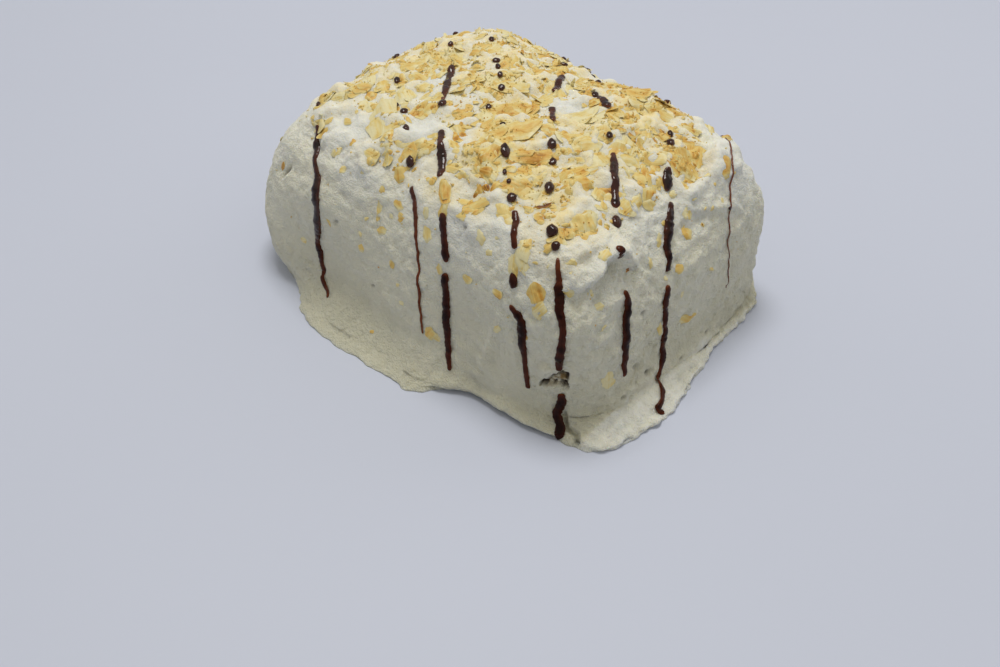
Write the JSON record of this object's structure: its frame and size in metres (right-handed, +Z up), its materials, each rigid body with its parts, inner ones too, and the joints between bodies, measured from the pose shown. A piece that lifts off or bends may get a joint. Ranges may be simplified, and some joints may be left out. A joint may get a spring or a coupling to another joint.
{
  "type": "napoleon cake",
  "caption": "Small loaf-shaped layer cake covered in whipped cream, with pastry flakes heaped on top and thin lines of dark sauce poured across.",
  "frame": {"origin": "middle of the flat underside, at the middle of the cake's box in plan", "axes": "+X along the cake's longer side, towards its right end, +Y towards the back, +Z up from the surface that it rests on"},
  "size_m": [0.144, 0.105, 0.0594],
  "materials": {
    "cream": "matte",
    "pastry_flake": "satin",
    "sauce": "gloss"
  },
  "bodies": {
    "root": {"napoleon_cake": "cream"}
  },
  "joints": []
}
